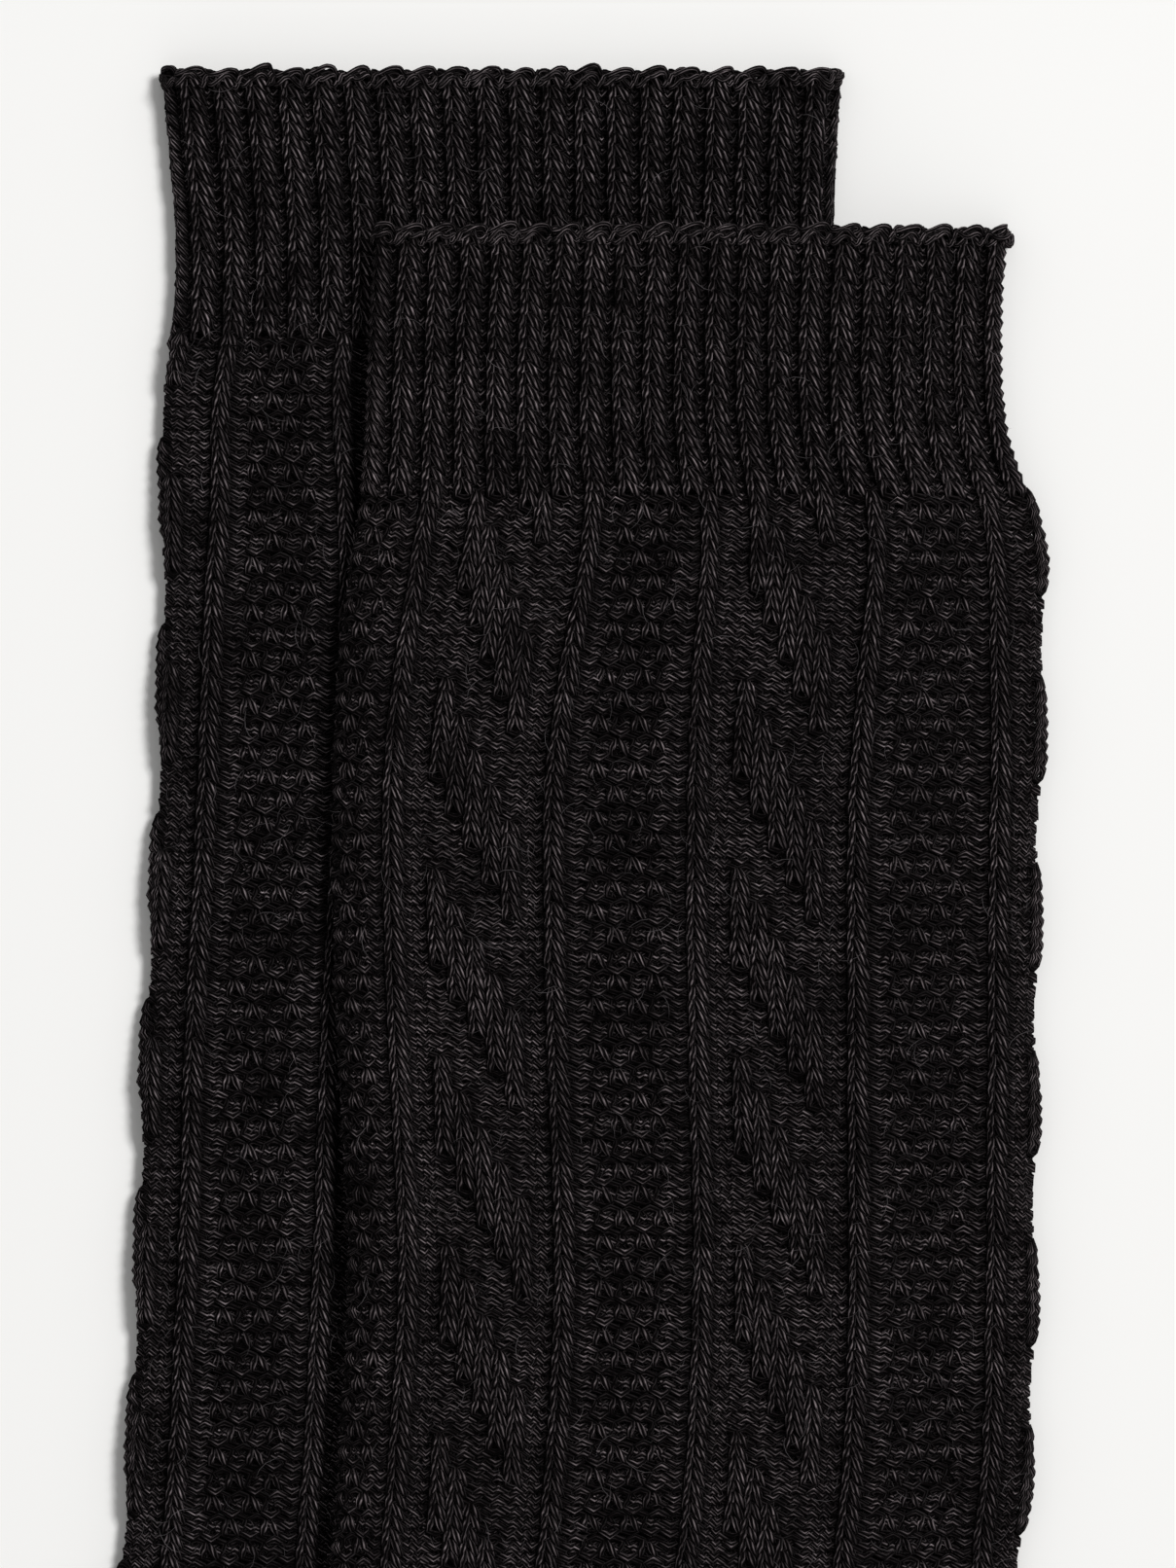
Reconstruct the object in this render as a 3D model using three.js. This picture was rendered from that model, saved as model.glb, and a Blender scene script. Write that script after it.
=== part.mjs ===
// A pair of cable knit crew socks, laid flat on a surface, one sock partly over the other.
// Millimetres, +Z up. The legs run along Y with the cuffs at +Y, and the toes point to -X.
// Each sock is one knitted tube, flattened, so that its two layers lie on each other. It is built from rings
// that go round the tube: straight across the leg, fanned round the ankle bend, and straight across the foot.
import * as THREE from 'three';

// ---- cloth
const WALL = 2;                  // one knitted layer
const SLIT = 0.4;                // between the two layers of a flattened sock
const MOUTH_SLIT = 1.4;          // the same at the cuff's open edge, where the ribs spring apart
const MOUTH_DEPTH = 20;          // how far down the cuff that opening reaches
const SOCK_GAP = 0.3;            // between the sock underneath and the one that lies on it

// ---- ankle and foot, the same for both socks
const BEND_START = 194;          // from the cuff's edge down to the start of the ankle bend
const BEND_TURN = THREE.MathUtils.degToRad(62);
const BEND_RADIUS = 32;          // of the instep fold, round the bend's centre
const HEEL_RADIUS = 44;          // of the turned heel's rounded corner
const FOOT_SECTIONS = [          // from the end of the bend to the start of the toe: the flat width across
  { along: 0, width: 88 },
  { along: 40, width: 84 },
  { along: 85, width: 83 },
  { along: 112, width: 80 },
];
const TOE_LENGTH = 46;           // from the last foot section to the tip
const TOE_POWER = 2.3;           // 2 is an ellipse, and more is blunter
const TOE_TIP_SHIFT = -5;        // the tip lies a little towards the instep
const TOE_THIN = 0.62;           // the toe's end thins out where it is narrower than this share of the foot

// ---- the two legs. front and back are the distances from a line straight down from the middle of the cuff's
// edge to the leg's two folds. Both legs wander a little towards the toes as they go down.
const SOCKS = {
  sock_under: {
    cuff: { x: -11, y: 90.5 },   // middle of the cuff's edge
    across: 4,                   // spans across each layer
    leg: [
      { down: 0, front: 43.2, back: 43 },
      { down: 20, front: 41.4, back: 42.1 },
      { down: 31, front: 41.7, back: 42.6 },
      { down: 41, front: 43.5, back: 44.8 },
      { down: 55, front: 43.3, back: 45.6 },
      { down: 90, front: 44.3, back: 44.8 },
      { down: 125, front: 46, back: 42.6 },
      { down: 150, front: 46.7, back: 41.6 },
      { down: 175, front: 47.9, back: 40.4 },
      { down: BEND_START, front: 49.4, back: 39.2 },
    ],
  },
  sock_over: {
    cuff: { x: 13.4, y: 70.2 },
    across: 11,
    leg: [
      { down: 0, front: 40.5, back: 40.5 },
      { down: 15, front: 41.3, back: 39.8 },
      { down: 26, front: 41.7, back: 40.7 },
      { down: 34.5, front: 42.4, back: 43.7 },
      { down: 42, front: 43.6, back: 44.9 },
      { down: 58, front: 45.4, back: 44.9 },
      { down: 80, front: 45.9, back: 44.4 },
      { down: 105, front: 45, back: 44.1 },
      { down: 132, front: 43.6, back: 43.8 },
      { down: 157, front: 45, back: 43.3 },
      { down: 171, front: 46.1, back: 41.9 },
      { down: BEND_START, front: 47, back: 41 },
    ],
  },
};

// ---- how the upper sock comes down off the lower one
const DRAPE_SHOULDER = 4;        // it stays up this far past the lower sock's edge
const DRAPE_REACH = 18;          // and touches the surface this far past it

// ---- how finely the rings are drawn
const LEG_STEP = 10;
const BEND_RINGS = 10;
const FOOT_STEP = 12;
const TOE_RINGS = 7;
const TOE_END = 0.985;           // the last ring, as a share of the toe's length, before the closing point
const FOLD_STEPS = 4;            // round each side fold

const LAYERS = 2 * WALL + SLIT;  // thickness of one flattened sock

const smooth = (t) => {
  const u = THREE.MathUtils.clamp(t, 0, 1);
  return u * u * (3 - 2 * u);
};

// Reads one column of a table of sections at a place between its rows, along a smooth curve.
function column(rows, place, name, at) {
  const last = rows.length - 1;
  let i = 0;
  while (i < last - 1 && at > rows[i + 1][place]) i += 1;
  const [a, b] = [rows[i], rows[i + 1]];
  const before = rows[Math.max(i - 1, 0)];
  const after = rows[Math.min(i + 2, last)];
  const span = b[place] - a[place];
  const t = (at - a[place]) / span;
  const slopeA = (b[name] - before[name]) / (b[place] - before[place]) * span;
  const slopeB = (after[name] - a[name]) / (after[place] - a[place]) * span;
  return (2 * t ** 3 - 3 * t ** 2 + 1) * a[name] + (t ** 3 - 2 * t ** 2 + t) * slopeA
    + (3 * t ** 2 - 2 * t ** 3) * b[name] + (t ** 3 - t ** 2) * slopeB;
}

// Distance from the bend's centre to the back of the heel, on the ray turned by `turn` from the leg's last ring.
// The calf's fold and the sole's fold run straight on, and the heel's arc joins them.
function heelReach(turn, reach) {
  const half = BEND_TURN / 2;
  const arcCentre = (reach - HEEL_RADIUS) / Math.cos(half);
  const off = turn - half;
  const arcStart = Math.atan2(arcCentre * Math.sin(half), reach);
  if (Math.abs(off) < half - arcStart) {
    return arcCentre * Math.cos(off) + Math.sqrt(HEEL_RADIUS ** 2 - (arcCentre * Math.sin(off)) ** 2);
  }
  return reach / Math.cos(off < 0 ? turn : BEND_TURN - turn);
}

// The rings of a sock in plan: where each one meets the front fold and the back fold.
// `open` widens the slit at the mouth, and `full` thins the cloth's two layers to a point at the toe.
function rings(sock) {
  const down = new THREE.Vector2(0, -1);
  const back = new THREE.Vector2(1, 0);
  const cuff = new THREE.Vector2(sock.cuff.x, sock.cuff.y);
  const place = (origin, axis, along, side, across) =>
    origin.clone().addScaledVector(axis, along).addScaledVector(side, across);
  const result = [];

  const legRings = Math.round(BEND_START / LEG_STEP);
  for (let i = 0; i < legRings; i += 1) {
    const at = BEND_START * i / legRings;
    result.push({
      front: place(cuff, down, at, back, -column(sock.leg, 'down', 'front', at)),
      back: place(cuff, down, at, back, column(sock.leg, 'down', 'back', at)),
      open: 1 - smooth(at / MOUTH_DEPTH),
      full: 1,
    });
  }

  const ankle = sock.leg[sock.leg.length - 1];
  const centre = place(cuff, down, BEND_START, back, -ankle.front - BEND_RADIUS);
  const ankleWidth = ankle.front + ankle.back;
  for (let i = 0; i < BEND_RINGS; i += 1) {
    const turn = BEND_TURN * i / BEND_RINGS;
    const ray = back.clone().multiplyScalar(Math.cos(turn)).addScaledVector(down, Math.sin(turn));
    result.push({
      front: centre.clone().addScaledVector(ray, BEND_RADIUS),
      back: centre.clone().addScaledVector(ray, heelReach(turn, BEND_RADIUS + ankleWidth)),
      open: 0,
      full: 1,
    });
  }

  const [cos, sin] = [Math.cos(BEND_TURN), Math.sin(BEND_TURN)];
  const forward = down.clone().multiplyScalar(cos).addScaledVector(back, -sin);
  const sole = back.clone().multiplyScalar(cos).addScaledVector(down, sin);
  const footEnd = FOOT_SECTIONS[FOOT_SECTIONS.length - 1];
  const footRings = Math.round(footEnd.along / FOOT_STEP);
  for (let i = 0; i < footRings; i += 1) {
    const at = footEnd.along * i / footRings;
    const width = column(FOOT_SECTIONS, 'along', 'width', at) + ankleWidth - FOOT_SECTIONS[0].width;
    const lift = (ankleWidth - width) / 2;
    result.push({
      front: place(centre, forward, at, sole, BEND_RADIUS + lift),
      back: place(centre, forward, at, sole, BEND_RADIUS + ankleWidth - lift),
      open: 0,
      full: 1,
    });
  }

  const toeWidth = footEnd.width + ankleWidth - FOOT_SECTIONS[0].width;
  for (let i = 0; i <= TOE_RINGS; i += 1) {
    const t = TOE_END * Math.sin(i / TOE_RINGS * Math.PI / 2);
    const share = (1 - t ** TOE_POWER) ** (1 / TOE_POWER);
    const middle = BEND_RADIUS + ankleWidth / 2 + TOE_TIP_SHIFT * t * t;
    const half = toeWidth / 2 * share;
    result.push({
      front: place(centre, forward, footEnd.along + TOE_LENGTH * t, sole, middle - half),
      back: place(centre, forward, footEnd.along + TOE_LENGTH * t, sole, middle + half),
      open: 0,
      full: Math.min(1, share / TOE_THIN),
    });
  }
  return result;
}

// One closed loop round the cloth: along the upper layer, round the back fold, along the lower layer, round the
// front fold. `half` is half the height of the loop, and `inset` is how far it lies inside the sock's outline.
function loop(ring, across, half, inset, lift) {
  const along = ring.back.clone().sub(ring.front);
  const width = along.length();
  along.normalize();
  const start = inset + half;
  const end = width - inset - half;
  const flat = [];
  for (let i = 0; i <= across; i += 1) flat.push(start + (end - start) * i / across);
  const points = flat.map((at) => [at, half]);
  for (let i = 1; i < FOLD_STEPS; i += 1) {
    const angle = Math.PI * i / FOLD_STEPS;
    points.push([end + half * Math.sin(angle), half * Math.cos(angle)]);
  }
  flat.reverse().forEach((at) => points.push([at, -half]));
  for (let i = 1; i < FOLD_STEPS; i += 1) {
    const angle = Math.PI * i / FOLD_STEPS;
    points.push([start - half * Math.sin(angle), -half * Math.cos(angle)]);
  }
  return points.map(([at, height]) => {
    const spot = ring.front.clone().addScaledVector(along, at);
    return new THREE.Vector3(spot.x, spot.y, lift(spot) + height);
  });
}

// The closed solid of one sock: the outside of the cloth, the inside of the cloth, and the rim at the cuff.
function sockGeometry(sock, drape) {
  const stations = rings(sock);
  const floor = (spot) => drape(spot) + LAYERS / 2;
  const mouthRise = (ring) => (MOUTH_SLIT - SLIT) / 2 * ring.open;
  const outside = stations.map((ring) => {
    const sprung = mouthRise(ring);
    return loop(ring, sock.across, LAYERS / 2 * ring.full + sprung, 0, (spot) => floor(spot) + sprung);
  });
  const hollow = stations.filter((ring) => ring.full === 1);
  const inside = hollow.map((ring) => {
    const sprung = mouthRise(ring);
    return loop(ring, sock.across, SLIT / 2 + sprung, WALL, (spot) => floor(spot) + sprung);
  });

  const points = [];
  const faces = [];
  const add = (ringPoints) => ringPoints.map((point) => points.push(point) - 1);
  const join = (a, b) => a.forEach((_, i) => {
    const next = (i + 1) % a.length;
    faces.push([a[i], b[i], b[next]], [a[i], b[next], a[next]]);
  });
  const close = (ringIndices, ringPoints, outwards) => {
    const middle = ringPoints.reduce((sum, point) => sum.add(point), new THREE.Vector3());
    const pole = points.push(middle.divideScalar(ringPoints.length)) - 1;
    ringIndices.forEach((index, i) => {
      const next = ringIndices[(i + 1) % ringIndices.length];
      faces.push(outwards ? [index, pole, next] : [next, pole, index]);
    });
  };

  const outer = outside.map(add);
  const inner = inside.map(add);
  for (let i = 1; i < outer.length; i += 1) join(outer[i - 1], outer[i]);
  for (let i = 1; i < inner.length; i += 1) join(inner[i], inner[i - 1]);
  join(inner[0], outer[0]);
  close(outer[outer.length - 1], outside[outside.length - 1], true);
  close(inner[inner.length - 1], inside[inside.length - 1], false);

  const geometry = new THREE.BufferGeometry();
  geometry.setAttribute('position', new THREE.Float32BufferAttribute(points.flatMap((p) => p.toArray()), 3));
  geometry.setIndex(faces.flat());
  return geometry;
}

// How far a spot lies inside an outline, in plan. Outside it, the distance is negative.
function depthInside(spot, outline) {
  let nearest = Infinity;
  let inside = false;
  outline.forEach((a, i) => {
    const b = outline[(i + 1) % outline.length];
    const edge = b.clone().sub(a);
    const t = THREE.MathUtils.clamp(spot.clone().sub(a).dot(edge) / edge.lengthSq(), 0, 1);
    nearest = Math.min(nearest, spot.distanceTo(a.clone().addScaledVector(edge, t)));
    const crosses = (a.y > spot.y) !== (b.y > spot.y);
    if (crosses && spot.x < a.x + (b.x - a.x) * (spot.y - a.y) / (b.y - a.y)) inside = !inside;
  });
  return inside ? nearest : -nearest;
}

const underRings = rings(SOCKS.sock_under);
const underOutline = [
  ...underRings.map((ring) => ring.front),
  ...underRings.map((ring) => ring.back).reverse(),
];
const flatOnSurface = () => 0;
const onTheOther = (spot) => {
  const past = depthInside(spot, underOutline) + DRAPE_REACH;
  return (LAYERS + SOCK_GAP) * smooth(past / (DRAPE_REACH - DRAPE_SHOULDER));
};

const yarn = (color) => new THREE.MeshStandardMaterial({ color, roughness: 0.95, metalness: 0 });
const underSock = new THREE.Mesh(sockGeometry(SOCKS.sock_under, flatOnSurface), yarn(0x1d1b1c));
underSock.name = 'sock_under';
const overSock = new THREE.Mesh(sockGeometry(SOCKS.sock_over, onTheOther), yarn(0x1f1d1e));
overSock.name = 'sock_over';

// The origin is the middle of the pair's box, at the surface it lies on.
const pair = new THREE.Group();
pair.add(underSock, overSock);
const box = new THREE.Box3().setFromObject(pair);
const middle = box.getCenter(new THREE.Vector3());
pair.position.set(-middle.x, -middle.y, -box.min.z);

export default pair;
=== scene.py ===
"""The looks of a pair of cable knit crew socks laid flat, one partly over the other.

Each sock is a dark cloth shell. Over its upper layer lies yarn: every course is one strand that runs from
fold to fold in loops, to a stitch chart of ribs, travelling cables and moss. The lower layer has no loops and
shows the shell. Lengths here are in millimetres until a mesh is made, and the plan of each sock is worked out
as the frame's solids are.
"""
import math

import bpy
import numpy as np
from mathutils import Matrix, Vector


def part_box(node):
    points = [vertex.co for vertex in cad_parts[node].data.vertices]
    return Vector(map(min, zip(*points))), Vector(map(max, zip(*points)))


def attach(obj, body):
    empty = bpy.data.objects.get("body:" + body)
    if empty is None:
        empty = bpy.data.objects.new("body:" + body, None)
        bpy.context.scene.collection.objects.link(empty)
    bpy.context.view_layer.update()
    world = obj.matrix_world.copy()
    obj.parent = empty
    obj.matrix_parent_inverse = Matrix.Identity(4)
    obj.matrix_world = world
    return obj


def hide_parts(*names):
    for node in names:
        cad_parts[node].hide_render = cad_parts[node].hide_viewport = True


MM = 0.001
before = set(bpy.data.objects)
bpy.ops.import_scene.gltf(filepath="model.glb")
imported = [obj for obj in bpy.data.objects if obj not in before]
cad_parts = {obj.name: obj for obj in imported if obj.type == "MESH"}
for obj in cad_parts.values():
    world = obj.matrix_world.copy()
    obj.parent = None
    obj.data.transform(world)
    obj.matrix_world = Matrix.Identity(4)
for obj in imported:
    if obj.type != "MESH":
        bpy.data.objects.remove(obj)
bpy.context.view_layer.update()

# ---- cloth and plan of a sock, as in the frame
WALL = 2.0
SLIT = 0.4
LAYERS = 2 * WALL + SLIT
MOUTH_SLIT = 1.4
MOUTH_DEPTH = 20.0
BEND_START = 194.0
BEND_TURN = math.radians(62)
BEND_RADIUS = 32.0
HEEL_RADIUS = 44.0
FOOT = {"along": (0, 40, 85, 112), "width": (88, 84, 83, 80)}
TOE_LENGTH = 46.0
TOE_POWER = 2.3
TOE_TIP_SHIFT = -5.0
TOE_THIN = 0.62
TOE_END = 0.985
DRAPE_SHOULDER = 4.0
DRAPE_REACH = 18.0
UPPER_LIFT = 5.3                # the upper sock's underside clears the lower sock's stitches

SOCKS = {
    "sock_under": {
        "cuff": (-11, 90.5),
        "down": (0, 20, 31, 41, 55, 90, 125, 150, 175, BEND_START),
        "front": (43.2, 41.4, 41.7, 43.5, 43.3, 44.3, 46, 46.7, 47.9, 49.4),
        "back": (43, 42.1, 42.6, 44.8, 45.6, 44.8, 42.6, 41.6, 40.4, 39.2),
        "first_wale": 6.45,
        "seed": 3,
    },
    "sock_over": {
        "cuff": (13.4, 70.2),
        "down": (0, 15, 26, 34.5, 42, 58, 80, 105, 132, 157, 171, BEND_START),
        "front": (40.5, 41.3, 41.7, 42.4, 43.6, 45.4, 45.9, 45, 43.6, 45, 46.1, 47),
        "back": (40.5, 39.8, 40.7, 43.7, 44.9, 44.9, 44.4, 44.1, 43.8, 43.3, 41.9, 41),
        "first_wale": -4.1,
        "seed": 8,
    },
}

# ---- knitting: courses go down from the cuff's edge, and wales go round from the front fold
FACE_WALES = 42                 # in one layer of the flattened sock
CUFF_COURSES = 22
LEG_COURSES = 129
BEND_COURSES = 40
FOOT_COURSES = 75
TOE_COURSES = 27
ALL_COURSES = LEG_COURSES + BEND_COURSES + FOOT_COURSES + TOE_COURSES
REPEAT = 17                     # wales in one repeat of the chart
RIBS = (0, 10)                  # the wales of the repeat that are ribs
CABLE = (3, 7)                  # first and last wale of the cable
MOSS_START = 11                 # moss runs from here to the end of the repeat
CABLE_TURN = 16                 # courses in which a cable column comes round again
CABLE_STEP = 3                  # courses by which each cable column follows the one before it

# ---- how finely the yarn is drawn: steps along each loop, and sides round the yarn
NEAR_STEPS, NEAR_SIDES = 8, 4
FAR_STEPS, FAR_SIDES = 5, 3
NEAR_COURSES = {"sock_under": 131, "sock_over": 117}
COVERED_DEPTH = 7.0             # yarn further than this under the upper sock is left out
FEWEST_WALES = 6
PARTS = (
    ("cuff", CUFF_COURSES),
    ("leg", 66),
    ("shin", 110),
    ("ankle", LEG_COURSES + BEND_COURSES),
    ("foot", ALL_COURSES - TOE_COURSES),
    ("toe", ALL_COURSES - 1),
)

LOOP_HEIGHT = 0.92              # half a loop's height, in courses
LOOP_WIDTH = 0.29               # how far the loop's head spreads, in wales
LOOP_SKEW = 0.12                # how far the right leg leans out, in wales
LOOP_DEPTH = 0.42               # half the depth of a loop
YARN_WIDE = 0.66                # half widths of the yarn, across and through the cloth
YARN_DEEP = 0.46
CAST_ON_STRANDS = ((-0.3, 0.0, 1.0), (0.25, 0.25, 1.9), (-0.05, -0.45, 1.45), (0.6, 0.1, 2.0))
CAST_ON_RADIUS = 0.4

# how wide each wale is beside the others, and how far it stands out of the cloth
WIDTH = {"rib": 1.3, "cable": 1.13, "moss": 1.24, "moss_at_fold": 0.85, "purl": 0.72,
         "cuff_knit": 1.5, "cuff_purl": 0.5}
RELIEF = {"rib": 0.75, "cable": 0.55, "purl": -0.65, "moss_knit": 0.0, "moss_beside_knit": 0.55,
          "moss_purl": -0.15, "plain": 0.1, "cuff_knit": 0.6, "cuff_purl": -1.25}

SHELL_INSET = 1.15              # the shell lies this far inside the outer face
SHELL_STEP = 5.0                # courses from one ring of the shell to the next
FOLD_LIMIT = 1.35               # how far yarn may turn round a fold, in quarter turns
PLAIN_SIDE = 0.52               # heel and sole are plain from here to the back fold
HEEL_SIDE = 0.55                # short rows start here

FIBRE_DENSITY = 32000.0         # loose fibres to a square metre
FIBRE_HEIGHT = 0.0019           # in metres, above the shell

# ---- stage
CAMERA_HEIGHT = 1600.0
VIEW_TALL = 201.5               # what the camera takes in, top to bottom
WORLD_LIGHT = 0.38
KEY_LIGHT = {"spot": (1.7, 1.3, 3.2), "size": 1.0, "power": 112.0}

YARN_DARK = (0.0013, 0.0008, 0.0009, 1)
# painted highlight colour on the yarn's strands, mixed over the dark yarn
YARN_HIGHLIGHT = {"sock_under": (0.46, 0.392, 0.41, 1), "sock_over": (0.45, 0.38, 0.396, 1)}
GROUND_DARK = (0.0015, 0.0013, 0.0014, 1)
# painted highlight colour on the tops of the ground's purl bumps
GROUND_HIGHLIGHT = (0.012, 0.0105, 0.011, 1)
FIBRE_COLOUR = (0.12, 0.11, 0.115, 1)
FLOOR_COLOUR = (0.9, 0.895, 0.88, 1)


def smooth(t):
    t = np.clip(t, 0, 1)
    return t * t * (3 - 2 * t)


def column(at, values, x):
    """A smooth curve through a table's rows, read at x."""
    at = np.asarray(at, float)
    values = np.asarray(values, float)
    x = np.asarray(x, float)
    i = np.clip(np.searchsorted(at, x, side="right") - 1, 0, len(at) - 2)
    before = np.maximum(i - 1, 0)
    after = np.minimum(i + 2, len(at) - 1)
    span = at[i + 1] - at[i]
    t = (x - at[i]) / span
    slope_a = (values[i + 1] - values[before]) / (at[i + 1] - at[before]) * span
    slope_b = (values[after] - values[i]) / (at[after] - at[i]) * span
    return ((2 * t**3 - 3 * t**2 + 1) * values[i] + (t**3 - 2 * t**2 + t) * slope_a
            + (3 * t**2 - 2 * t**3) * values[i + 1] + (t**3 - t**2) * slope_b)


def heel_reach(turn, reach):
    """From the bend's centre to the back of the heel: two straight folds, joined by the heel's arc."""
    half = BEND_TURN / 2
    arc_centre = (reach - HEEL_RADIUS) / math.cos(half)
    off = turn - half
    arc_start = math.atan2(arc_centre * math.sin(half), reach)
    if abs(off) < half - arc_start:
        return arc_centre * math.cos(off) + math.sqrt(HEEL_RADIUS**2 - (arc_centre * math.sin(off)) ** 2)
    return reach / math.cos(turn if off < 0 else BEND_TURN - turn)


def chart_panels(wale):
    """The wale's place in the repeat, and whether it is a rib, in the cable or in the moss."""
    k = np.mod(wale, REPEAT)
    return k, (k == RIBS[0]) | (k == RIBS[1]), (k >= CABLE[0]) & (k <= CABLE[1]), k >= MOSS_START


class Sock:
    """Where every wale and course of one sock lies."""

    def __init__(self, name, sizes):
        self.name = name
        self.first_wale = sizes["first_wale"]
        self.random = np.random.default_rng(sizes["seed"])
        self.lift_grid = None
        self.offset = np.zeros(2)
        self.lay_out(sizes)
        self.set_wales()

    def lay_out(self, sizes):
        """The front and back folds at every quarter course, in plan."""
        down, back = np.array([0.0, -1.0]), np.array([1.0, 0.0])
        cuff = np.array(sizes["cuff"], float)
        ankle_front, ankle_back = sizes["front"][-1], sizes["back"][-1]
        width = ankle_front + ankle_back
        centre = cuff + down * BEND_START - back * (ankle_front + BEND_RADIUS)
        cos, sin = math.cos(BEND_TURN), math.sin(BEND_TURN)
        forward, sole = down * cos - back * sin, back * cos + down * sin
        rows = []
        for at in np.arange(0, ALL_COURSES + 0.01, 0.25):
            full, opened = 1.0, 0.0
            if at < LEG_COURSES:
                y = BEND_START * at / LEG_COURSES
                front = cuff + down * y - back * column(sizes["down"], sizes["front"], y)
                rear = cuff + down * y + back * column(sizes["down"], sizes["back"], y)
                opened = 1 - smooth(y / MOUTH_DEPTH)
            elif at < LEG_COURSES + BEND_COURSES:
                turn = BEND_TURN * (at - LEG_COURSES) / BEND_COURSES
                ray = back * math.cos(turn) + down * math.sin(turn)
                front = centre + ray * BEND_RADIUS
                rear = centre + ray * heel_reach(turn, BEND_RADIUS + width)
            else:
                foot = at - LEG_COURSES - BEND_COURSES
                length = FOOT["along"][-1]
                if foot < FOOT_COURSES:
                    along = length * foot / FOOT_COURSES
                    narrow = (FOOT["width"][0] - column(FOOT["along"], FOOT["width"], along)) / 2
                    near, far = BEND_RADIUS + narrow, BEND_RADIUS + width - narrow
                else:
                    t = TOE_END * (foot - FOOT_COURSES) / TOE_COURSES
                    share = (1 - t**TOE_POWER) ** (1 / TOE_POWER)
                    half = (FOOT["width"][-1] + width - FOOT["width"][0]) / 2 * share
                    middle = BEND_RADIUS + width / 2 + TOE_TIP_SHIFT * t * t
                    near, far = middle - half, middle + half
                    full = min(1.0, share / TOE_THIN)
                    along = length + TOE_LENGTH * t
                front = centre + forward * along + sole * near
                rear = centre + forward * along + sole * far
            rows.append((at, *front, *rear, full, float(opened)))
        self.table = np.array(rows)

    def shift(self, offset):
        self.table[:, 1:3] += offset
        self.table[:, 3:5] += offset

    def outline(self, step=8):
        return np.vstack([self.table[::step, 1:3], self.table[::step, 3:5][::-1]])

    def plain(self, wale, course):
        """True where the knitting has no pattern: heel, sole and toe."""
        side = (wale - self.first_wale) / FACE_WALES
        return ((side > PLAIN_SIDE) & (course > LEG_COURSES - 2)) | (course > ALL_COURSES - TOE_COURSES)

    def knit(self, wale, course):
        """+1 where the chart has a knit stitch, and -1 where it has a purl."""
        k, rib, in_cable, _ = chart_panels(wale)
        down = course - CUFF_COURSES
        raised = np.mod(down - CABLE_STEP * (k - CABLE[0]), CABLE_TURN) < CABLE_TURN / 2
        odd = np.mod(down, 4) == 1
        even = np.mod(down, 4) == 3
        moss = (odd & ((k == 13) | (k == 15))) | (even & ((k == 12) | (k == 14)))
        body = rib | (in_cable & raised) | moss
        cuff = np.mod(wale, 2) == 0
        patterned = body | self.plain(wale, course)
        return np.where(np.where(course < CUFF_COURSES, cuff, patterned), 1.0, -1.0)

    def set_wales(self):
        """How wide each wale is: knit columns spread, and the purl beside them is drawn in behind."""
        wales = np.arange(-12, 70)
        _, rib, cable, moss = chart_panels(wales)
        moss_width = np.where(wales < self.first_wale + 4.5, WIDTH["moss_at_fold"], WIDTH["moss"])
        body = np.select([rib, cable, moss], [WIDTH["rib"], WIDTH["cable"], moss_width], WIDTH["purl"])
        cuff = np.where(np.mod(wales, 2) == 0, WIDTH["cuff_knit"], WIDTH["cuff_purl"])
        self.wale_edges = np.append(wales, wales[-1] + 1)
        self.spread = []
        for widths in (cuff, body, np.ones(len(wales))):
            edges = np.append(0, np.cumsum(widths))
            start = np.interp(self.first_wale, self.wale_edges, edges)
            end = np.interp(self.first_wale + FACE_WALES, self.wale_edges, edges)
            self.spread.append((edges - start) / (end - start))

    def across(self, wale, course):
        """The share of the way across the upper layer, from 0 at the front fold to 1 at the back fold."""
        cuff, body, plain = (np.interp(wale, self.wale_edges, edges) for edges in self.spread)
        out_of_cuff = smooth((course - CUFF_COURSES + 2.5) / 5)
        to_body = smooth((course - CUFF_COURSES) / 28)
        to_plain = smooth((course - ALL_COURSES + TOE_COURSES + 8) / 8)
        settled = plain + (body - plain) * to_body * (1 - to_plain)
        return cuff + (settled - cuff) * out_of_cuff

    def point(self, share, course, height, layer=1):
        """The place `height` out from the face of the upper layer, or of the lower, and the way out of it."""
        past_edge = np.minimum(course, 0) * BEND_START / LEG_COURSES
        course = np.clip(course, 0, ALL_COURSES)
        fx, fy, bx, by, full, opened = (np.interp(course, self.table[:, 0], self.table[:, i])
                                        for i in range(1, 7))
        wide = np.hypot(bx - fx, by - fy)
        half = LAYERS / 2 * full
        flat = np.maximum(wide - 2 * half, 0.01)
        arc = math.pi / 2 * half
        round_ = share * (flat + 2 * arc)
        turn_front = np.clip(1 - round_ / arc, 0, FOLD_LIMIT) * math.pi / 2
        turn_back = np.clip((round_ - arc - flat) / arc, 0, FOLD_LIMIT) * math.pi / 2
        tilt = turn_back - turn_front
        along = half + np.clip(round_ - arc, 0, flat)
        out = np.maximum(half + height, 0.02)
        side = np.sin(tilt) * out
        up = np.cos(tilt) * out * layer
        x = fx + (bx - fx) / wide * (along + side)
        y = fy + (by - fy) / wide * (along + side)
        rise = (MOUTH_SLIT - SLIT) * opened * (np.cos(tilt) if layer > 0 else 0)
        z = self.lift(share, course) + LAYERS / 2 + up + rise
        aside = np.sin(tilt) / wide
        normal = np.stack([(bx - fx) * aside, (by - fy) * aside, np.cos(tilt) * layer], -1)
        return np.stack([x, y - past_edge, z], -1), normal

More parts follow.
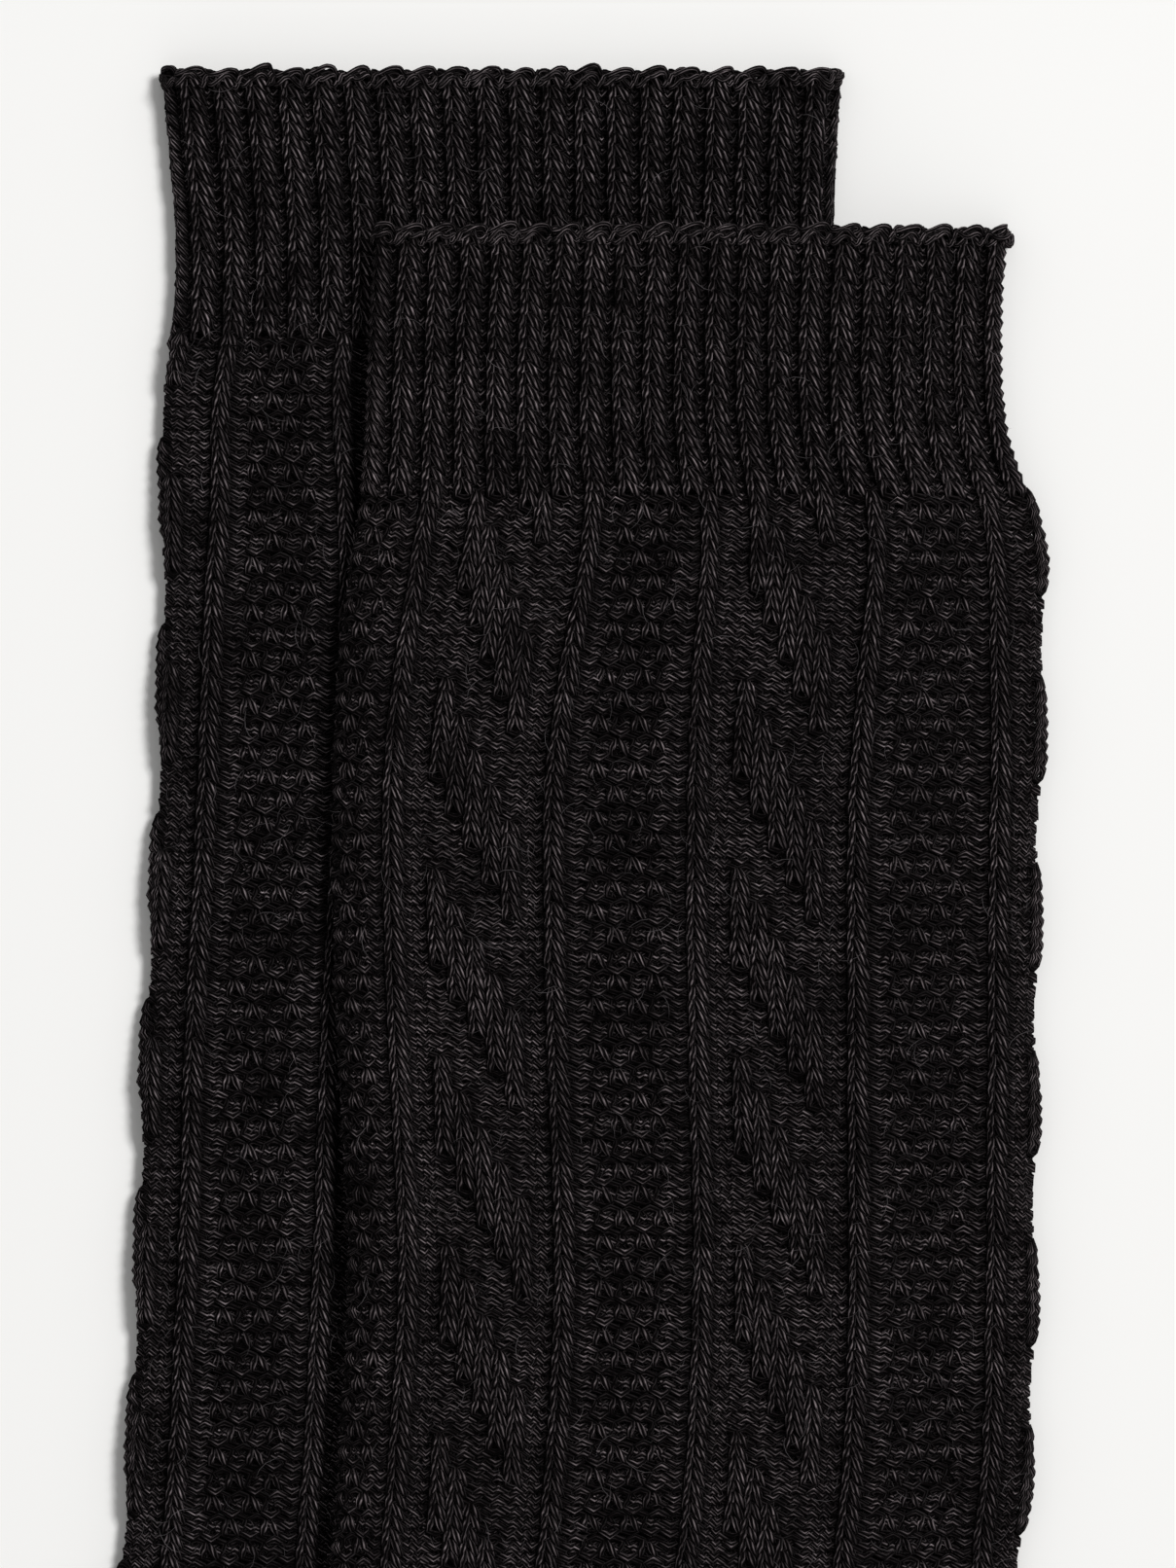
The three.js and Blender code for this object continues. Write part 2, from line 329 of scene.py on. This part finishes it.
    def lift(self, share, course):
        """How high the sock's underside is held off the surface there."""
        if self.lift_grid is None:
            return np.zeros(np.broadcast(share, course).shape)
        rows, cols = self.lift_grid.shape
        r = np.clip(course / ALL_COURSES * (rows - 1), 0, rows - 1.001)
        c = np.clip(np.asarray(share) * (cols - 1), 0, cols - 1.001)
        i, j = r.astype(int), c.astype(int)
        fr, fc = r - i, c - j
        g = self.lift_grid
        return (g[i, j] * (1 - fr) * (1 - fc) + g[i + 1, j] * fr * (1 - fc)
                + g[i, j + 1] * (1 - fr) * fc + g[i + 1, j + 1] * fr * fc)

    def lay_over(self, other):
        """Sets the lift so that this sock lies on the other and comes down to the surface past its edge."""
        rows, cols = 180, 60
        course = np.repeat(np.linspace(0, ALL_COURSES, rows)[:, None], cols, 1)
        share = np.repeat(np.linspace(0, 1, cols)[None], rows, 0)
        spots, _ = self.point(share, course, 0.0)
        past = depth_inside(spots[..., :2].reshape(-1, 2), other.outline()).reshape(rows, cols) + DRAPE_REACH
        self.lift_grid = UPPER_LIFT * smooth(past / (DRAPE_REACH - DRAPE_SHOULDER))


def depth_inside(spots, outline):
    """How far each spot lies inside a closed outline, in plan, and negative outside it."""
    a, b = outline, np.roll(outline, -1, 0)
    edge = b - a
    length = np.maximum((edge**2).sum(1), 1e-9)
    t = np.clip(((spots[:, None] - a) * edge).sum(2) / length, 0, 1)
    nearest = np.sqrt((((spots[:, None] - a) - t[..., None] * edge) ** 2).sum(2).min(1))
    px, py = spots[:, 0:1], spots[:, 1:2]
    crosses = (a[:, 1] > py) != (b[:, 1] > py)
    slope = np.where(edge[:, 1] == 0, 1e-9, edge[:, 1])
    left = px < a[:, 0] + edge[:, 0] * (py - a[:, 1]) / slope
    inside = (crosses & left).sum(1) % 2 == 1
    return np.where(inside, nearest, -nearest)


CAP_CORNERS = np.array([[0, 0.1], [0.0015, 0.1], [0.0015, 0.8], [0, 0.8]])


class Mesh:
    """Collects tubes and makes one mesh of them, with a yarn map and a packed map."""

    def __init__(self):
        self.points, self.faces, self.sizes = [], [], []
        self.yarn, self.packed, self.crest = [], [], []
        self.count = 0
        self.row = 0

    def tube(self, path, normal, wide, deep, crest, sides):
        """A closed tube along a path, flattened against the cloth. Its ends are capped."""
        # how strongly the yarn gets its painted highlight at each point along the path
        self.crest.append(np.repeat(np.broadcast_to(crest, len(path)), sides))
        tangent = np.gradient(path, axis=0)
        tangent /= np.linalg.norm(tangent, axis=1, keepdims=True) + 1e-9
        cross = np.cross(tangent, normal)
        cross /= np.linalg.norm(cross, axis=1, keepdims=True) + 1e-9
        up = np.cross(cross, tangent)
        turned = 0.5 if sides == NEAR_SIDES else 0.75       # four sides lie flat, and three have a ridge on top
        angle = 2 * math.pi * (np.arange(sides) + turned) / sides
        ring = (path[:, None] + np.cos(angle)[None, :, None] * cross[:, None] * np.reshape(wide, (-1, 1, 1))
                + np.sin(angle)[None, :, None] * up[:, None] * np.reshape(deep, (-1, 1, 1)))
        n = len(path)
        index = self.count + np.arange(n * sides).reshape(n, sides)
        after = np.roll(index, -1, 1)
        quads = np.stack([index[:-1], after[:-1], after[1:], index[1:]], -1).reshape(-1, 4)
        length = np.append(0, np.cumsum(np.linalg.norm(np.diff(path, axis=0), axis=1)))
        u0 = np.repeat(length[:-1, None], sides, 1)
        u1 = np.repeat(length[1:, None], sides, 1)
        v0 = np.repeat(np.arange(sides)[None] / sides, n - 1, 0)
        v1 = v0 + 1 / sides
        offset = self.row * 0.37
        corners = [np.stack([u, v + offset], -1) for u, v in ((u0, v0), (u0, v1), (u1, v1), (u1, v0))]
        self.yarn.append(np.stack(corners, 2).reshape(-1, 2))
        total = length[-1]
        share = (self.yarn[-1] - [0, offset]) / [total, 1]
        self.packed.append(share * [0.995, 0.96] + [0.002, self.row + 0.02])
        self.points.append(ring.reshape(-1, 3))
        self.faces += [quads.ravel(), index[0][::-1], index[-1]]
        self.sizes += [np.full(len(quads), 4), [sides, sides]]
        for u, at in ((0.0, 0.0), (0.998, total)):
            self.yarn.append(np.full((sides, 2), at))
            self.packed.append(CAP_CORNERS[:sides] + [u, self.row])
        self.count += n * sides
        self.row += 1

    def make(self, name, material):
        points = np.concatenate(self.points) * MM
        corners = np.concatenate(self.faces)
        sizes = np.concatenate(self.sizes)
        data = bpy.data.meshes.new(name)
        data.vertices.add(len(points))
        data.vertices.foreach_set("co", points.astype(np.float32).ravel())
        data.loops.add(len(corners))
        data.loops.foreach_set("vertex_index", corners.astype(np.int32))
        data.polygons.add(len(sizes))
        data.polygons.foreach_set("loop_start", (np.cumsum(sizes) - sizes).astype(np.int32))
        data.update(calc_edges=True)
        packed = np.concatenate(self.packed) / [1, self.row]
        for layer, spots in (("OFBake", packed), ("Yarn", np.concatenate(self.yarn))):
            uv = data.uv_layers.new(name=layer)
            uv.data.foreach_set("uv", spots.astype(np.float32).ravel())
        # the strength of the painted highlight along the yarn, read by the yarn material
        crest = data.attributes.new("crest", "FLOAT", "POINT")
        crest.data.foreach_set("value", np.concatenate(self.crest).astype(np.float32))
        data.polygons.foreach_set("use_smooth", np.ones(len(sizes), bool))
        data.materials.append(material)
        data.validate()
        piece = bpy.data.objects.new(name, data)
        bpy.context.scene.collection.objects.link(piece)
        return piece


# ---- yarn
def relief(sock, wale, course):
    """How far a column stands out of the cloth: knit columns ride forward and purl sinks behind them."""
    k, rib, cable, moss = chart_panels(wale)
    knit = sock.knit(wale, course)
    around = (sock.knit(wale, course - 1) + 2 * knit + sock.knit(wale, course + 1)) / 4
    cuff = np.where(knit > 0, RELIEF["cuff_knit"], RELIEF["cuff_purl"])
    beside = np.maximum(sock.knit(wale - 1, course), sock.knit(wale + 1, course))
    moss_purl = np.where(beside > 0, RELIEF["moss_beside_knit"], RELIEF["moss_purl"])
    moss_relief = np.where(knit > 0, RELIEF["moss_knit"], moss_purl)
    moss_edge = (k == MOSS_START) | (k == REPEAT - 1)
    body = np.select([rib, cable, moss_edge, moss],
                     [RELIEF["rib"], RELIEF["cable"] * around, 0.0, moss_relief], RELIEF["purl"])
    body = np.where(sock.plain(wale, course), RELIEF["plain"], body)
    to_body = smooth((course - CUFF_COURSES + 2) / 4)
    return cuff * (1 - to_body) + body * to_body


def course_yarn(sock, mesh, course, first, last, steps, sides, height):
    """One course: a yarn that runs through every loop from wale `first` to wale `last`."""
    count = last - first
    f = np.arange(count * steps + 1) / steps
    i = np.minimum(f.astype(int), count - 1)
    part = f - i
    t = 2 * math.pi * part
    wales = np.arange(first - 1, last + 2)
    knit = sock.knit(wales, course)
    left, here, right = knit[i], knit[i + 1], knit[i + 2]
    sign = np.where(part < 0.2, (here + left) / 2 + (here - left) / 2 * part / 0.2, here)
    sign = np.where(part > 0.8, (here + right) / 2 + (here - right) / 2 * (1 - part) / 0.2, sign)
    centres = wales + 0.5
    uneven = sock.random.normal(0, 1, (3, len(wales)))
    wander = [np.interp(first + f, centres, row) for row in uneven]
    wale = first + f + LOOP_WIDTH * np.sin(2 * t) - LOOP_SKEW * np.cos(t) + 0.035 * wander[0]
    tall = height(wale)
    down = course + 0.5 - tall * np.cos(t) + 0.07 * wander[1] * tall
    stand = np.interp(wale, centres, relief(sock, wales, course))
    swell = 0.22 * np.sin(course / 15 + sock.first_wale) * np.sin(wale / 8 + course / 40)
    out = stand + swell - sign * LOOP_DEPTH * np.cos(2 * t) + 0.05 * wander[2] - 0.45
    share = sock.across(wale, down)
    path, normal = sock.point(share, down, out)
    # the painted highlight is strongest where the loop comes forward, and fades where it dives behind
    forward = np.clip(sign * -np.cos(2 * t), 0, 1)
    in_cuff = 1 - smooth((course - CUFF_COURSES + 1) / 2)
    wide = YARN_WIDE * (0.86 + 0.14 * forward) * (1 + 0.12 * in_cuff)
    crest = forward * (0.75 + 0.25 * np.sin(1.7 * wander[1] + 1))
    mesh.tube(path, normal, wide, YARN_DEEP, crest, sides)


def full_height(wale):
    return np.full(np.shape(wale), LOOP_HEIGHT)


def heel_height(sock):
    """Loops are half as tall, in the fan's courses, where short rows double them round the heel."""
    def height(wale):
        side = (wale - sock.first_wale) / FACE_WALES
        return LOOP_HEIGHT * (1 - 0.5 * smooth((side - 0.5) / 0.08))
    return height


def knit_pieces(sock, covered_by, material):
    """The upper layer's yarn, in pieces from cuff to toe, without what lies well under the other sock."""
    first = math.floor(sock.first_wale)
    whole = math.ceil(sock.first_wale + FACE_WALES)
    heel_start = int(sock.first_wale + FACE_WALES * HEEL_SIDE)
    pieces, start = [], 0
    for part, end in PARTS:
        mesh = Mesh()
        for course in range(start, end):
            last = whole
            if covered_by is not None:
                wales = np.arange(first, whole)
                spots, _ = sock.point(sock.across(wales, course), np.full(len(wales), float(course)), 0)
                showing = depth_inside(spots[:, :2], covered_by.outline()) < COVERED_DEPTH
                last = first + max(int(showing.sum()), FEWEST_WALES)
            near = course < NEAR_COURSES[sock.name]
            steps, sides = (NEAR_STEPS, NEAR_SIDES) if near else (FAR_STEPS, FAR_SIDES)
            turning = LEG_COURSES <= course < LEG_COURSES + BEND_COURSES
            height = heel_height(sock) if turning else full_height
            course_yarn(sock, mesh, course, first, last, steps, sides, height)
            if turning and last > heel_start + 2:
                course_yarn(sock, mesh, course + 0.5, heel_start, last, steps, sides, heel_height(sock))
        pieces.append(mesh.make(f"{sock.name}_{part}_yarn", material))
        start = end
    return pieces


def cast_on_edge(sock, material):
    """The cuff's first edge: strands that roll over each other along the mouth, on both layers."""
    mesh = Mesh()
    wale = np.arange(sock.first_wale - 0.6, sock.first_wale + FACE_WALES + 0.6, 0.125)
    stations = np.arange(wale[0] - 1, wale[-1] + 1, 0.7)
    rib = 0.5 + 0.5 * np.cos(math.pi * (wale - 0.5))
    for layer, base in ((1, -0.2), (-1, -0.95)):
        for strand, (down, out, pitch) in enumerate(CAST_ON_STRANDS):
            shake = [np.interp(wale, stations, sock.random.normal(0, 0.12, len(stations))) for _ in range(2)]
            turn = math.pi * wale * pitch + strand * 2.1
            path, normal = sock.point(
                sock.across(wale, 0 * wale),
                down + 0.3 * np.cos(turn) - 0.3 * rib + shake[0],
                base + out + 0.25 * np.sin(turn) + 0.35 * rib + shake[1], layer)
            # the cast-on strands get their painted highlight where they roll forward
            mesh.tube(path, normal, CAST_ON_RADIUS, CAST_ON_RADIUS, 0.5 + 0.5 * np.sin(turn), NEAR_SIDES)
    return mesh.make(f"{sock.name}_cast_on_edge", material)


# ---- cloth shell
def cloth_shell(sock, material):
    """The knitted tube behind the yarn, flattened, with its mouth open and its toe closed."""
    middle = np.linspace(0.05, 0.95, 32)[1:-1]
    shares = np.concatenate([np.linspace(0, 0.05, 5), middle, np.linspace(0.95, 1, 5)])
    edge = smooth(np.minimum(shares, 1 - shares) / 0.05)

    def ring(course, upper, lower):
        top, _ = sock.point(shares, np.full(len(shares), float(course)), upper)
        low, _ = sock.point(shares, np.full(len(shares), float(course)), lower, -1)
        return np.concatenate([top, low[::-1]])

    courses = np.append(np.arange(0, ALL_COURSES, SHELL_STEP), ALL_COURSES)
    outer = [ring(c, -SHELL_INSET, -SHELL_INSET * (1 - edge)) for c in courses]
    inner = [ring(c, -WALL, -WALL) for c in courses if c < ALL_COURSES - TOE_COURSES * 0.4]
    size = len(outer[0])
    points = np.concatenate(outer + inner)
    faces = []
    for base, rows, turned in ((0, len(outer), False), (len(outer) * size, len(inner), True)):
        for i in range(rows - 1):
            for k in range(size):
                a, b = base + i * size + k, base + i * size + (k + 1) % size
                quad = [a, a + size, b + size, b]
                faces.append(quad[::-1] if turned else quad)
        last = [base + (rows - 1) * size + k for k in range(size)]
        faces.append(last if turned else last[::-1])
    start = len(outer) * size
    faces += [[start + k, k, (k + 1) % size, start + (k + 1) % size] for k in range(size)]
    data = bpy.data.meshes.new(f"{sock.name}_cloth")
    data.from_pydata((points * MM).tolist(), [], faces)
    data.polygons.foreach_set("use_smooth", np.ones(len(faces), bool))
    data.materials.append(material)
    piece = bpy.data.objects.new(data.name, data)
    bpy.context.scene.collection.objects.link(piece)
    return piece


# ---- materials
class Value:
    """A shader socket that can be used in sums."""

    def __init__(self, tree, socket):
        self.tree, self.socket = tree, socket

    def node(self, kind, settings=None, **inputs):
        """Any node, with its settings, and its inputs given by name or number."""
        node = self.tree.nodes.new(kind)
        for name, value in (settings or {}).items():
            setattr(node, name, value)
        for name, value in inputs.items():
            socket = node.inputs[int(name[1:])] if name[0] == "_" else node.inputs[name.replace("_", " ")]
            if isinstance(value, Value):
                self.tree.links.new(value.socket, socket)
            else:
                socket.default_value = value
        return node

    def math(self, operation, a, b=0.0):
        return Value(self.tree, self.node("ShaderNodeMath", {"operation": operation}, _0=a, _1=b).outputs[0])

    def __add__(self, other):
        return self.math("ADD", self, other)

    def __sub__(self, other):
        return self.math("SUBTRACT", self, other)

    def __mul__(self, other):
        return self.math("MULTIPLY", self, other)

    def __rsub__(self, other):
        return self.math("SUBTRACT", other, self)

    __radd__, __rmul__ = __add__, __mul__

    def power(self, other):
        return self.math("POWER", self, other)

    def wave(self):
        """A cosine of the value in turns, from 0 to 1."""
        return self.math("COSINE", self * (2 * math.pi)) * 0.5 + 0.5

    def clamp(self):
        return self.math("MINIMUM", self.math("MAXIMUM", self, 0.0), 1.0)


def new_material(name, roughness, sheen):
    material = bpy.data.materials.new(name)
    material.use_nodes = True
    tree = material.node_tree
    shader = tree.nodes["Principled BSDF"]
    shader.inputs["Roughness"].default_value = roughness
    shader.inputs["Specular IOR Level"].default_value = 0.02
    shader.inputs["Sheen Weight"].default_value = sheen
    shader.inputs["Sheen Roughness"].default_value = 0.45
    shader.inputs["Sheen Tint"].default_value = (0.75, 0.7, 0.72, 1)
    return material, tree, shader


def yarn_material(name, dark, highlight_colour):
    """Several fine ends laid side by side: dark between the strands, with painted highlights along their backs,
    strongest where the loops come forward.
    """
    material, tree, shader = new_material(name, 0.8, 0.02)
    maker = Value(tree, None)
    place = maker.node("ShaderNodeUVMap", {"uv_map": "Yarn"})
    split = maker.node("ShaderNodeSeparateXYZ", None, Vector=Value(tree, place.outputs["UV"]))
    along, around = Value(tree, split.outputs["X"]), Value(tree, split.outputs["Y"])
    strand = (around * 7 + along * 0.06).wave()
    streak = maker.node("ShaderNodeCombineXYZ", None, X=along * 0.9, Y=around * 24)
    fibre = maker.node("ShaderNodeTexNoise", None, Vector=Value(tree, streak.outputs[0]), Scale=1.0,
                       Detail=3.0)
    fibre = Value(tree, fibre.outputs[0])
    body = maker.node("ShaderNodeTexCoord")
    patch = maker.node("ShaderNodeTexNoise", None, Vector=Value(tree, body.outputs["Object"]), Scale=160.0,
                       Detail=4.0)
    patch = Value(tree, patch.outputs[0])
    # painted highlight: bright strands broken by fibre and patch noise, strongest on the loops' forward parts
    crest = Value(tree, maker.node("ShaderNodeAttribute", {"attribute_name": "crest"}).outputs["Fac"])
    fine = strand.power(2.5) * (fibre * 3.6 - 1.4).clamp()
    glint = (fine * (patch * 1.8 - 0.25).clamp() * (crest * 0.9 + 0.1)).clamp()
    # mixes the dark yarn with the painted highlight colour
    tone = maker.node("ShaderNodeMix", {"data_type": "RGBA"}, _0=glint)
    tone.inputs[6].default_value = dark
    tone.inputs[7].default_value = highlight_colour
    tree.links.new(tone.outputs[2], shader.inputs["Base Color"])
    tree.links.new((0.95 - glint * 0.3).socket, shader.inputs["Roughness"])
    ridges = strand * 0.8 + fibre * 0.5
    bump = maker.node("ShaderNodeBump", None, Height=ridges, Distance=0.0003, Strength=1.0)
    tree.links.new(bump.outputs[0], shader.inputs["Normal"])
    return material


def cloth_material(name, dark, highlight_colour):
    """The knitted ground behind the yarn, in rows of small purl bumps, with painted highlights on their tops
    and painted shade between them.
    """
    material, tree, shader = new_material(name, 0.9, 0.0)
    maker = Value(tree, None)
    place = maker.node("ShaderNodeTexCoord")
    split = maker.node("ShaderNodeSeparateXYZ", None, Vector=Value(tree, place.outputs["Object"]))
    x, y = Value(tree, split.outputs["X"]), Value(tree, split.outputs["Y"])
    bumps = (x * 480).wave() * 0.5 + (y * 660 + (x * 480).wave() * 0.3).wave() * 0.5
    noise = maker.node("ShaderNodeTexNoise", None, Vector=Value(tree, place.outputs["Object"]), Scale=900.0,
                       Detail=4.0)
    noise = Value(tree, noise.outputs[0])
    # colour follows the bumps' height: painted highlight on their tops and painted shade between them, varied
    # at random by the noise
    tone = maker.node("ShaderNodeMix", {"data_type": "RGBA"}, _0=(bumps * noise * 1.1 - 0.12).clamp())
    tone.inputs[6].default_value = dark
    tone.inputs[7].default_value = highlight_colour
    tree.links.new(tone.outputs[2], shader.inputs["Base Color"])
    tree.links.new((0.98 - noise * 0.15).socket, shader.inputs["Roughness"])
    bump = maker.node("ShaderNodeBump", None, Height=bumps + noise * 0.4, Distance=0.0006, Strength=0.8)
    tree.links.new(bump.outputs[0], shader.inputs["Normal"])
    return material


def fibre_material(name, colour):
    material, tree, shader = new_material(name, 0.85, 0.05)
    maker = Value(tree, None)
    place = maker.node("ShaderNodeTexCoord")
    noise = maker.node("ShaderNodeTexNoise", None, Vector=Value(tree, place.outputs["Object"]), Scale=90.0)
    tone = maker.node("ShaderNodeMix", {"data_type": "RGBA"}, _0=Value(tree, noise.outputs[0]))
    tone.inputs[6].default_value = tuple(c * 0.25 for c in colour[:3]) + (1,)
    tone.inputs[7].default_value = colour
    tree.links.new(tone.outputs[2], shader.inputs["Base Color"])
    return material


# ---- loose fibre, scattered by Geometry Nodes
def fibre_shape():
    """One loose fibre, 5 mm long, curled, and pointed at both ends."""
    steps, sides, radius = 5, 3, 0.035
    t = np.linspace(-1, 1, steps)
    line = np.stack([2.4 * t, 0.9 * t**2 - 0.4, 0.5 * np.sin(2.2 * t)], -1)
    angle = 2 * math.pi * np.arange(sides) / sides
    ring = np.stack([0 * angle, np.cos(angle), np.sin(angle)], -1) * radius
    inside = line[1:-1]
    points = np.concatenate([(inside[:, None] + ring[None]).reshape(-1, 3), line[:1], line[-1:]])
    faces = []
    for i in range(len(inside) - 1):
        for k in range(sides):
            a, b = i * sides + k, i * sides + (k + 1) % sides
            faces.append([a, a + sides, b + sides, b])
    start, end = len(points) - 2, len(points) - 1
    for k in range(sides):
        faces.append([start, k, (k + 1) % sides])
        last = (len(inside) - 1) * sides
        faces.append([end, last + (k + 1) % sides, last + k])
    data = bpy.data.meshes.new("fibre")
    data.from_pydata((points * MM).tolist(), [], [f[::-1] for f in faces])
    return bpy.data.objects.new("fibre", data)


def fuzz_tree(fibre, material):
    """Scatters fibres over the faces that look up."""
    tree = bpy.data.node_groups.new("loose_fibre", "GeometryNodeTree")
    face = tree.interface
    face.new_socket("Geometry", in_out="INPUT", socket_type="NodeSocketGeometry")
    sizes = {"Density": "NodeSocketFloat", "Height": "NodeSocketFloat", "Seed": "NodeSocketInt"}
    for label, kind in sizes.items():
        face.new_socket(label, in_out="INPUT", socket_type=kind)
    face.new_socket("Geometry", in_out="OUTPUT", socket_type="NodeSocketGeometry")
    nodes, link = tree.nodes, tree.links.new
    start, end = nodes.new("NodeGroupInput"), nodes.new("NodeGroupOutput")
    normal, split = nodes.new("GeometryNodeInputNormal"), nodes.new("ShaderNodeSeparateXYZ")
    up = nodes.new("FunctionNodeCompare")
    up.inputs[1].default_value = 0.2
    scatter = nodes.new("GeometryNodeDistributePointsOnFaces")
    move, raise_ = nodes.new("GeometryNodeSetPosition"), nodes.new("ShaderNodeCombineXYZ")
    spin = nodes.new("FunctionNodeRandomValue")
    spin.data_type = "FLOAT_VECTOR"
    spin.inputs[0].default_value = (-0.3, -0.3, 0)
    spin.inputs[1].default_value = (0.3, 0.3, 6.283)
    grow = nodes.new("FunctionNodeRandomValue")
    grow.inputs[2].default_value = 0.35
    grow.inputs[3].default_value = 1.0
    shape = nodes.new("GeometryNodeObjectInfo")
    shape.inputs["Object"].default_value = fibre
    place, real = nodes.new("GeometryNodeInstanceOnPoints"), nodes.new("GeometryNodeRealizeInstances")
    paint = nodes.new("GeometryNodeSetMaterial")
    paint.inputs["Material"].default_value = material
    link(normal.outputs[0], split.inputs[0])
    link(split.outputs["Z"], up.inputs[0])
    link(start.outputs["Geometry"], scatter.inputs["Mesh"])
    link(up.outputs[0], scatter.inputs["Selection"])
    link(start.outputs["Density"], scatter.inputs["Density"])
    link(start.outputs["Seed"], scatter.inputs["Seed"])
    link(scatter.outputs["Points"], move.inputs["Geometry"])
    link(start.outputs["Height"], raise_.inputs["Z"])
    link(raise_.outputs[0], move.inputs["Offset"])
    link(move.outputs[0], place.inputs["Points"])
    link(shape.outputs["Geometry"], place.inputs["Instance"])
    link(spin.outputs[0], place.inputs["Rotation"])
    link(grow.outputs[1], place.inputs["Scale"])
    link(place.outputs[0], real.inputs[0])
    link(real.outputs[0], paint.inputs["Geometry"])
    link(paint.outputs[0], end.inputs[0])
    return tree


def loose_fibre(sock, shell, tree):
    """Runs the scatter on a copy of the shell and keeps the result as a plain mesh."""
    carrier = bpy.data.objects.new("carrier", shell.data)
    bpy.context.scene.collection.objects.link(carrier)
    scatter = carrier.modifiers.new("fibre", "NODES")
    scatter.node_group = tree
    names = {item.name: item.identifier for item in tree.interface.items_tree if item.in_out == "INPUT"}
    scatter[names["Density"]] = FIBRE_DENSITY
    scatter[names["Height"]] = FIBRE_HEIGHT
    scatter[names["Seed"]] = int(sock.random.integers(1000))
    bpy.context.view_layer.update()
    data = bpy.data.meshes.new_from_object(carrier.evaluated_get(bpy.context.evaluated_depsgraph_get()))
    data.name = f"{sock.name}_loose_fibre"
    bpy.data.objects.remove(carrier)
    piece = bpy.data.objects.new(data.name, data)
    bpy.context.scene.collection.objects.link(piece)
    return piece


# ---- the surface, the lights and the camera
def set_stage(view_centre):
    bpy.ops.mesh.primitive_plane_add(size=6, location=(0, 0, 0))
    floor = bpy.context.object
    floor.name = "surface"
    material = bpy.data.materials.new("pale_surface")
    material.use_nodes = True
    shader = material.node_tree.nodes["Principled BSDF"]
    shader.inputs["Base Color"].default_value = FLOOR_COLOUR
    shader.inputs["Roughness"].default_value = 0.9
    floor.data.materials.append(material)

    world = bpy.data.worlds.new("studio")
    world.use_nodes = True
    sky = world.node_tree.nodes["Background"]
    sky.inputs["Color"].default_value = (1, 1, 1, 1)
    sky.inputs["Strength"].default_value = WORLD_LIGHT
    bpy.context.scene.world = world

    lamp = bpy.data.lights.new("key", "AREA")
    lamp.size = KEY_LIGHT["size"]
    lamp.energy = KEY_LIGHT["power"]
    stand = bpy.data.objects.new("key", lamp)
    stand.location = KEY_LIGHT["spot"]
    stand.rotation_euler = (-stand.location).to_track_quat("-Z", "Y").to_euler()
    bpy.context.scene.collection.objects.link(stand)

    camera = bpy.data.cameras.new("camera")
    camera.sensor_fit = "VERTICAL"
    camera.sensor_height = 24.0
    camera.lens = camera.sensor_height * CAMERA_HEIGHT / VIEW_TALL
    camera.clip_end = 20
    holder = bpy.data.objects.new("camera", camera)
    holder.location = (view_centre[0] * MM, view_centre[1] * MM, CAMERA_HEIGHT * MM)
    bpy.context.scene.collection.objects.link(holder)
    bpy.context.scene.camera = holder
    bpy.context.scene.view_settings.view_transform = "Standard"


under, over = (Sock(name, sizes) for name, sizes in SOCKS.items())
low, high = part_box("sock_under")
plan = under.outline(1)
offset = np.array([high.x / MM - plan[:, 0].max(), high.y / MM - plan[:, 1].max()])
for sock in (under, over):
    sock.shift(offset)
over.lay_over(under)

slots = {"sock_under": "under_yarn", "sock_over": "over_yarn"}
yarns = {name: yarn_material(slot, YARN_DARK, YARN_HIGHLIGHT[name]) for name, slot in slots.items()}
ground = cloth_material("knitted_ground", GROUND_DARK, GROUND_HIGHLIGHT)
fuzz = fuzz_tree(fibre_shape(), fibre_material("loose_fibre", FIBRE_COLOUR))

for sock, covered_by, rests_on in ((under, over, "surface"), (over, None, "sock_under_cloth")):
    shell = cloth_shell(sock, ground)
    pieces = knit_pieces(sock, covered_by, yarns[sock.name])
    pieces.append(cast_on_edge(sock, yarns[sock.name]))
    pieces.append(loose_fibre(sock, shell, fuzz))
    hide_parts(sock.name)
    for piece in [shell, *pieces]:
        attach(piece, "root")

set_stage(offset)
